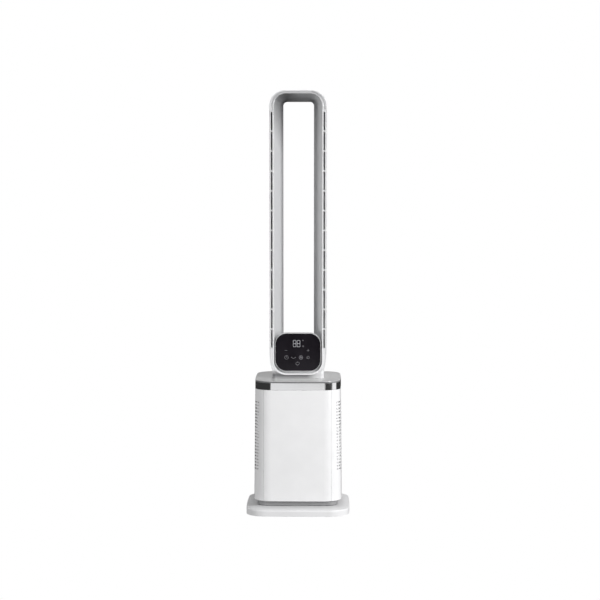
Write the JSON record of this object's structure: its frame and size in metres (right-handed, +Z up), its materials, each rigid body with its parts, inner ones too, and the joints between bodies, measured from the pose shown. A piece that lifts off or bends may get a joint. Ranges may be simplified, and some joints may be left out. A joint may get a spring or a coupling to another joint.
{
  "type": "tower fan",
  "caption": "Bladeless tower fan: tall hollow loop with a black touch panel, on a white filter housing with perforated sides, chrome band and wide base plate.",
  "frame": {"origin": "centre of the footprint on the floor, under the pivot's axis", "axes": "+Z up along the swing axis, +X to the viewer's right when the front is seen, -Y towards the front with the touch panel"},
  "size_m": [0.265, 0.265, 1.08],
  "materials": {
    "body_white": "satin moulded white",
    "loop_white": "smooth satin white",
    "base_white": "satin moulded white",
    "base_grey": "fine matte texture",
    "pedestal_grey": "matte moulded grey",
    "chrome": "polished plating",
    "silver_top": "silver paint with a fine sparkle",
    "panel_housing": "smooth light grey",
    "panel_glass": "glossy black, printed from behind",
    "rubber": "matte",
    "gland_black": "matte",
    "steel": "turned",
    "iron": "as cast",
    "acetal": "smooth",
    "inner_plastic": "moulded grey",
    "impeller_plastic": "moulded, glass filled",
    "motor_can": "zinc-plated can",
    "circuit_board": "solder mask",
    "filter_paper": "pleated media"
  },
  "bodies": {
    "base": {"base_plate": "base_white", "base_weight": "iron", "base_cover": "base_grey", "rubber_feet": "rubber", "base_screws": "steel", "cord_gland": "gland_black", "pivot_post": "steel", "pivot_nut": "steel", "sun_gear": "acetal", "glide_ring": "acetal", "pivot_retainer": "steel"},
    "tower": {"turntable": "pedestal_grey", "hub_bush": "acetal", "swing_motor": "motor_can", "swing_motor_screws": "steel", "power_board": "circuit_board", "filter_tray": "inner_plastic", "fan_housing": "inner_plastic", "fan_motor": "motor_can", "motor_isolators": "rubber", "motor_cap": "inner_plastic", "diffuser_duct": "inner_plastic", "shell_screws": "steel", "top_deck": "inner_plastic", "chrome_band": "chrome", "top_plate": "silver_top", "neck_gasket": "rubber", "loop_outer_shell": "loop_white", "loop_inner_shell": "loop_white", "loop_front_ring": "loop_white", "control_housing": "panel_housing", "control_glass": "panel_glass", "display_board": "circuit_board", "body_front_shell": "body_white", "body_rear_shell": "body_white", "left_intake_grille": "body_white", "right_intake_grille": "body_white", "left_filter_frame": "inner_plastic", "right_filter_frame": "inner_plastic", "left_filter_media": "filter_paper", "right_filter_media": "filter_paper"},
    "impeller": {"impeller": "impeller_plastic", "impeller_shaft": "steel", "impeller_nut": "steel"},
    "swing_pinion": {"swing_pinion": "acetal", "swing_shaft": "steel"}
  },
  "joints": [
    {"name": "oscillation", "type": "hinge", "parent": "base", "child": "tower", "pos_m": [0, 0, 0.041], "axis": [0, 0, 1], "range_deg": [-40, 40]},
    {"name": "impeller_spin", "type": "hinge", "parent": "tower", "child": "impeller", "pos_m": [0, 0, 0.168], "axis": [0, 0, 1], "continuous": true},
    {"name": "pinion_spin", "type": "hinge", "parent": "tower", "child": "swing_pinion", "pos_m": [0, 0.049, 0.0285], "axis": [0, 0, 1], "range_deg": [-101, 101]}
  ],
  "couplings": [
    {"joint": "pinion_spin", "follows": "oscillation", "ratio": 2.5}
  ]
}
